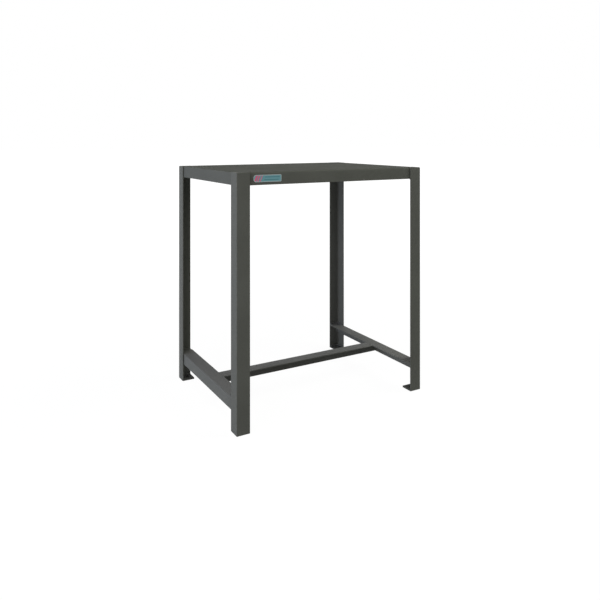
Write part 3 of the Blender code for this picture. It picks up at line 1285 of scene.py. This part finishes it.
@dataclass(frozen=True)
class RootPath:
    """The way of a bead in the front left leg: in along one flange, round the root, out along the other.

    Attributes:
        sizes: The table's sizes.
        turn: How far the point about which it turns is from both inner faces.
    """

    sizes: TableSizes
    turn: float

    @property
    def arm(self) -> float:
        """Length of its straight stretch along a flange."""
        return self.sizes.leg_flange - self.sizes.wall - self.turn

    @property
    def bend(self) -> float:
        """Length of its stretch round the root."""
        return QUARTER_TURN * self.turn / 2

    @property
    def length(self) -> float:
        """Its whole length."""
        return 2 * self.arm + self.bend

    def _to_leg(self, angle: np.ndarray) -> np.ndarray:
        """Distance from the point of turning to the leg, in a direction.

        It is where the direction's line meets a face, or else the root's arc where it would meet the face
        within the root.

        Args:
            angle: Directions, from one face's normal to the other's.

        Returns:
            Distances.
        """
        steep = np.minimum(angle, QUARTER_TURN - angle)
        face = self.turn / np.cos(steep)
        offset = self.turn - ROOT_RADIUS
        lean = offset * (np.sin(steep) + np.cos(steep))
        root = lean + np.sqrt(np.maximum(lean**2 - 2 * offset**2 + ROOT_RADIUS**2, 0))
        return np.where(self.turn - face * np.sin(steep) >= ROOT_RADIUS, face, root)

    def plan(self, along: np.ndarray, off_leg: np.ndarray) -> np.ndarray:
        """Places points beside the way, in plan. Those that lie on the leg follow its faces and its root.

        Args:
            along: Distances along the way, shape (S, 1).
            off_leg: Distances from the leg, shape (S, P) or (P,).

        Returns:
            Points from the foot of the leg's spine, shape (S, P, 2).
        """
        angle = np.clip((along - self.arm) / self.bend, 0, 1) * QUARTER_TURN
        reach = np.where(off_leg == 0, self._to_leg(angle), self.turn - off_leg)
        middle = self.sizes.wall + self.turn
        x = middle - reach * np.sin(angle) + np.clip(self.arm - along, 0, self.arm)
        y = middle - reach * np.cos(angle) + np.clip(along - self.arm - self.bend, 0, self.arm)
        return points_of(x, y)


@dataclass
class Weld(Part):
    """A weld bead.

    Attributes:
        spacing: Distance between its sections.
    """

    slot: ClassVar[Slot] = Slot.weld
    renamed: ClassVar[tuple[str, str]] = ("weld", "bead")
    softened: ClassVar[bool] = False
    spacing: ClassVar[float] = 0.00032

    def _stations(self, length: float) -> np.ndarray:
        """Distances from one end of the bead at which its sections lie."""
        return np.linspace(0, length, int(length / self.spacing))


@dataclass
class CornerWeld(Weld):
    """A bead along both inner faces of a leg, from toe to toe, on a level seat.

    Attributes:
        corner: The corner.
        seat: Height of the seat.
        side: 1 where the bead lies on the seat, -1 where it hangs under it.
        bead: The bead's shape.
    """

    corner: Corner
    seat: float
    side: int
    bead: Bead

    def shape(self) -> tuple[np.ndarray, np.ndarray]:
        """Carries the bead's section along the leg's inner faces.

        In the corner its sections turn about one point, whose distance from both faces is the root's radius
        and the bead's width, crown and ripple together.

        Returns:
            The points and the quads.
        """
        bead = self.bead
        path = RootPath(self.sizes, bead.leg + bead.crown + bead.ripple + ROOT_RADIUS)
        along = self._stations(path.length)
        section = bead.section(along, path.length)
        plan = path.plan(along[:, None], section[..., 0])
        rings = closed_rings(raised(plan, self.seat + self.side * section[..., 1]))
        return self.sizes.at_corner(rings, self.corner), tube_quads(rings)


@dataclass
class UprightWeld(Weld):
    """A straight bead up a corner between two upright faces.

    Attributes:
        place: The corner that it fills, in plan.
        across: The directions away from the corner along the two faces.
        bead: The bead's shape.
    """

    place: tuple[float, float]
    across: tuple[int, int]
    bead: Bead

    def shape(self) -> tuple[np.ndarray, np.ndarray]:
        """Carries the bead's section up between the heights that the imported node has.

        Returns:
            The points and the quads.
        """
        low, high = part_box(self.node)
        length = high.z - low.z
        along = self._stations(length)
        plan = self.place + self.across * self.bead.section(along, length)
        rings = closed_rings(raised(plan, (low.z + along)[:, None]))
        return rings, tube_quads(rings)


@dataclass
class GrooveWeld(Weld):
    """The weld that fills the groove between a leg's top end and the pan's bend, ground nearly flush.

    Attributes:
        corner: The corner.
        sink: How far its top sags in the middle.
        grinding: Share by which grinding waves change that, and the length of a radian of them.
        grinding_turn: How many radians the waves turn across the weld.
        deepest: How far its underside goes down at most.
        steps: Points across its top.
    """

    spacing: ClassVar[float] = 0.0005
    corner: Corner
    sink: float = 0.00012
    grinding: Span = (0.4, 0.0031)
    grinding_turn: float = 3.0
    deepest: float = 0.0022
    steps: int = 7

    def shape(self) -> tuple[np.ndarray, np.ndarray]:
        """Carries the groove's section along the leg's inner faces and round the pan's corner.

        Its top sags by the sink times the root of a half wave across it, with faint grinding waves. Its
        underside follows the bend: at a distance d from the leg it lies as high as a circle of the bend's
        radius about (bend + gap, top - bend), less the seat gap.

        Returns:
            The points and the quads.
        """
        path = RootPath(self.sizes, PAN_CORNER_RADIUS + SEAT_GAP)
        along = self._stations(path.length)[:, None]
        t = np.linspace(0, 1, self.steps)
        share, length = self.grinding
        waves = share * np.sin(along / length) * np.sin(self.grinding_turn * t)
        sag = self.sink * (1 + waves) * np.sin(math.pi * t) ** 0.5
        width = PAN_BEND_RADIUS + SEAT_GAP
        under = width * (1 - t[1:-1])
        off = np.clip((width - under) / PAN_BEND_RADIUS, 0, 1)
        dip = np.minimum(PAN_BEND_RADIUS * (1 - np.sqrt(1 - off**2)), self.deepest) + SEAT_GAP
        drop = np.concatenate([sag, np.broadcast_to(dip, (len(along), len(dip)))], 1)
        plan = path.plan(along, np.concatenate([width * t, under]))
        rings = closed_rings(raised(plan, self.sizes.height - drop))
        return self.sizes.at_corner(rings, self.corner), tube_quads(rings)


@dataclass
class LabelPlate(Part):
    """The small plate on the front flange.

    Attributes:
        left_radius: Radius of its two corners on the left.
        right_radius: Radius of its two corners on the right.
        steps: Points round a corner.
        shares: Sizes of the rings from the middle of its front to its rim, in shares of the outline.
    """

    slot: ClassVar[Slot] = Slot.label
    renamed: ClassVar[tuple[str, str]] = ("label", "printed")
    left_radius: float = 0.0075
    right_radius: float = 0.003
    steps: int = 10
    shares: tuple[float, ...] = (0.0, 0.5, 1.0)

    def box(self) -> tuple[np.ndarray, np.ndarray]:
        """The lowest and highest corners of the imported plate."""
        low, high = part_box(self.node)
        return np.array(low), np.array(high)

    def shape(self) -> tuple[np.ndarray, np.ndarray]:
        """Raises the plate from its outline, a rectangle with two large and two small rounded corners.

        Returns:
            The points and the quads.
        """
        low, high = self.box()
        middle, half = (low + high) / 2, (high - low) / 2
        quarters = []
        for quarter, (side_x, side_z) in enumerate(QUADRANTS):
            radius = self.right_radius if side_x > 0 else self.left_radius
            angle = np.linspace(0, QUARTER_TURN, self.steps) + quarter * QUARTER_TURN
            centre = np.array([side_x * (half[0] - radius), side_z * (half[2] - radius)])
            quarters.append(arc(centre, radius, angle))
        outline = np.concatenate(quarters)
        share = np.array([*self.shares, *self.shares[::-1]])[:, None]
        depth = np.repeat([high[1], low[1]], len(self.shares))[:, None]
        across, up = outline[:, 0] * share, outline[:, 1] * share
        rings = points_of(middle[0] + across, depth, middle[2] + up)
        return rings, tube_quads(rings)


@dataclass(frozen=True)
class Lamp:
    """A soft square lamp that looks at the middle of the table.

    Attributes:
        name: Its name.
        heading: Where it stands, in degrees from the table's front towards its right.
        elevation: How high it stands over the table's middle, in degrees.
        power: Its power in watts.
        colour: The colour of its light.
        size: Length of its sides.
        distance: How far it is from the table's middle.
        aim: Height of the point that it looks at.
        glare: Whether glossy faces mirror it.
    """

    name: str
    heading: float
    elevation: float
    power: float
    colour: Colour = (1.0, 1.0, 1.0)
    size: float = 2.0
    distance: float = 3.5
    aim: float = 0.4
    glare: bool = True

    def build(self) -> None:
        """Makes the lamp."""
        data = bpy.data.lights.new(self.name, "AREA")
        data.shape = "SQUARE"
        data.size = self.size
        data.energy = self.power
        data.color = self.colour
        lamp = add_object(self.name, data)
        heading, elevation = math.radians(self.heading), math.radians(self.elevation)
        across, up = self.distance * math.cos(elevation), self.distance * math.sin(elevation)
        lamp.location = (across * math.sin(heading), -across * math.cos(heading), self.aim + up)
        lamp.rotation_euler = (QUARTER_TURN - elevation, 0.0, heading)
        lamp.visible_glossy = self.glare


@dataclass(frozen=True)
class Studio:
    """The camera, the lamps, the floor and the white surroundings.

    Attributes:
        camera_place: Where the camera stands.
        camera_heading: How far it is turned from +Y towards +X, in degrees.
        lens: Focal length in millimetres.
        sensor: Width of the sensor in millimetres.
        shift: The lens's shift in shares of the picture's width.
        floor_half: Half the length of the floor's sides.
        floor_colour: Colour of the floor.
        floor_roughness: Its roughness.
        floor_glow: Share of even light in what the camera sees of the floor, near the table and far away.
        floor_fade: Distances from the table's middle between which that share changes.
        glow: Strength of that even light.
        lamps: The lamps.
    """

    camera_place: tuple[float, float, float] = (-0.9559, -1.7074, 0.7748)
    camera_heading: float = 29.96
    lens: float = 37.044
    sensor: float = 36.0
    shift: Span = (-0.00733, -0.2693)
    floor_half: float = 40.0
    floor_colour: Colour = (0.4, 0.4, 0.4)
    floor_roughness: float = 0.9
    floor_glow: Span = (0.88, 1.0)
    floor_fade: Span = (0.8, 2.5)
    glow: float = 1.1
    lamps: tuple[Lamp, ...] = (
        Lamp("left_softbox", -98.0, 11.0, 59.0, (0.86, 0.95, 1.19)),
        Lamp("front_left_softbox", -60.0, 11.0, 55.0, (1.0, 0.96, 1.04)),
        Lamp("front_right_softbox", 60.0, 12.0, 34.0),
        Lamp("high_front_softbox", -30.0, 62.0, 36.0, (1.05, 1.06, 0.89)),
        Lamp("high_right_softbox", 70.0, 45.0, 60.0, (0.99, 1.04, 0.97)),
        Lamp("back_softbox", 175.0, 5.0, 36.0, glare=False),
    )

    def build(self) -> None:
        """Makes the camera, the lamps, the floor and the world."""
        self._camera()
        for lamp in self.lamps:
            lamp.build()
        self._floor()
        self._world()
        bpy.context.scene.view_settings.view_transform = "Standard"

    def _camera(self) -> None:
        """Makes the camera, level and at the photograph's height, heading and framing."""
        data = bpy.data.cameras.new("camera")
        data.sensor_fit = "HORIZONTAL"
        data.sensor_width = self.sensor
        data.lens = self.lens
        data.shift_x, data.shift_y = self.shift
        camera = add_object("camera", data)
        camera.location = self.camera_place
        camera.rotation_euler = (QUARTER_TURN, 0, -math.radians(self.camera_heading))
        bpy.context.scene.camera = camera

    def _floor(self) -> None:
        """Lays a wide pale floor, which shows white where the table doesn't shade it."""
        h = self.floor_half
        mesh = bpy.data.meshes.new("floor")
        mesh.from_pydata([(-h, -h, 0), (h, -h, 0), (h, h, 0), (-h, h, 0)], [], [(0, 1, 2, 3)])
        floor = add_object("floor", mesh)
        graph = Graph(bpy.data.materials.new("pale_floor"))
        shader = graph.surface(
            {
                "Base Color": (*self.floor_colour, 1.0),
                "Roughness": self.floor_roughness,
                "Specular IOR Level": 0.0,
            }
        )
        glow = graph.signal("ShaderNodeEmission", {"Strength": self.glow})
        _, x, y, _ = graph.place()
        near, far = self.floor_glow
        away = (x * x + y * y).math("SQRT").rise(*self.floor_fade)
        share = graph.seen() * (near + (far - near) * away)
        shaded = Signal(graph, shader.outputs[0])
        mixed = graph.signal("ShaderNodeMixShader", {0: share, 1: shaded, 2: glow})
        graph.fill(graph.tree.nodes["Material Output"], {"Surface": mixed})
        mesh.materials.append(graph.owner)

    @staticmethod
    def _world() -> None:
        """Makes the surroundings white where the camera sees or mirrors them, and dark for all other light."""
        world = bpy.data.worlds.new("white_surroundings")
        bpy.context.scene.world = world
        graph = Graph(world)
        background = {"Color": (1.0, 1.0, 1.0, 1.0), "Strength": graph.seen()}
        graph.fill(graph.tree.nodes["Background"], background)


class MachineTable:
    """The whole table: its finishes and its pieces."""

    def __init__(self) -> None:
        """Reads the sizes from the frame and makes the finishes."""
        self.sizes = TableSizes.from_frame()
        self.plate = LabelPlate("label_plate", self.sizes)
        coats = {
            # The level colours paint light and shade on faces that look up: darker on the top and pads as
            # painted shade, lighter on the stretchers as a painted highlight, and lighter on the welds.
            Slot.top: PowderCoat(STEEL_GREY, (0.072, 0.073, 0.0665), roughness=0.6, gloss=0.014),
            Slot.leg: PowderCoat(STEEL_GREY, STEEL_GREY),
            Slot.stretcher: PowderCoat((0.095, 0.098, 0.088), (0.117, 0.1155, 0.111), gloss=0.065),
            # The pads' paint is a darker copy of the same grey: painted shade at the feet.
            Slot.pad: PowderCoat((0.07, 0.072, 0.064), (0.06, 0.06, 0.057)),
            Slot.weld: PowderCoat((0.085, 0.087, 0.079), (0.095, 0.097, 0.089), grain_depth=0.0001),
        }
        self.paint = {slot: coat.material(slot, self.sizes) for slot, coat in coats.items()}
        self.paint[Slot.label] = LabelPrint().material(Slot.label, self.plate)

    def build(self) -> None:
        """Builds every piece of the table."""
        for part in (*self._steel(), *self._welds(), self.plate):
            part.build(self.paint[part.slot])

    def _steel(self) -> Iterator[Part]:
        """Lists the pieces of steel.

        Yields:
            The pan, the legs with their pads, and the stretchers.
        """
        yield PanTop("table_top", self.sizes)
        for corner in Corner:
            yield Leg(f"leg_{corner.name}", self.sizes, corner)
            yield FootPad(f"foot_pad_{corner.name}", self.sizes, corner)
        for side in Side:
            yield SideStretcher(f"side_stretcher_{side.name}", self.sizes, side)
        yield CentreStretcher("centre_stretcher", self.sizes)

    def _welds(self) -> Iterator[Part]:
        """Lists the welds. Those that aren't ground have ripples of their own.

        Yields:
            The welds of each corner and those at the centre stretcher's ends.
        """
        sizes = self.sizes
        under_pan = Bead(PAN_SHEET, pitch=0.0014, ripple=0.00012)
        at_stretcher = Bead(STRETCHER_BEAD)
        at_pad = Bead(PAD_BEAD, pitch=0.0015, ripple=0.00015)
        face_x, face_y = sizes.stretcher_face, sizes.half_depth - sizes.wall
        seats = (
            ("flange", sizes.pan_bottom, -1, under_pan, FLANGE_START),
            ("stretcher", sizes.stretcher_height, 1, at_stretcher, STRETCHER_START),
            ("pad", sizes.pad_thickness, 1, at_pad, PAD_START),
        )
        for number, corner in enumerate(Corner):
            side_x, side_y, _ = corner.value
            shift = CORNER_SHIFT * number
            yield GrooveWeld(f"weld_top_{corner.name}", sizes, corner)
            for kind, seat, side, shape, start in seats:
                bead = replace(shape, phase=shift + start)
                yield CornerWeld(f"weld_{kind}_{corner.name}", sizes, corner, seat, side, bead)
            node = f"weld_stretcher_end_{corner.name}"
            bead = replace(at_stretcher, phase=shift + END_START)
            yield UprightWeld(node, sizes, (side_x * face_x, side_y * face_y), (-side_x, -side_y), bead)
        for side in Side:
            place = (side.value * face_x, sizes.centre_back)
            bead = replace(at_stretcher, phase=CENTRE_START + SIDE_SHIFT * side.value)
            yield UprightWeld(f"weld_centre_{side.name}", sizes, place, (-side.value, 1), bead)


def main() -> None:
    """Builds the studio and the table."""
    logging.basicConfig(level=logging.INFO, format="%(message)s")
    Studio().build()
    MachineTable().build()


if __name__ == "__main__":
    main()
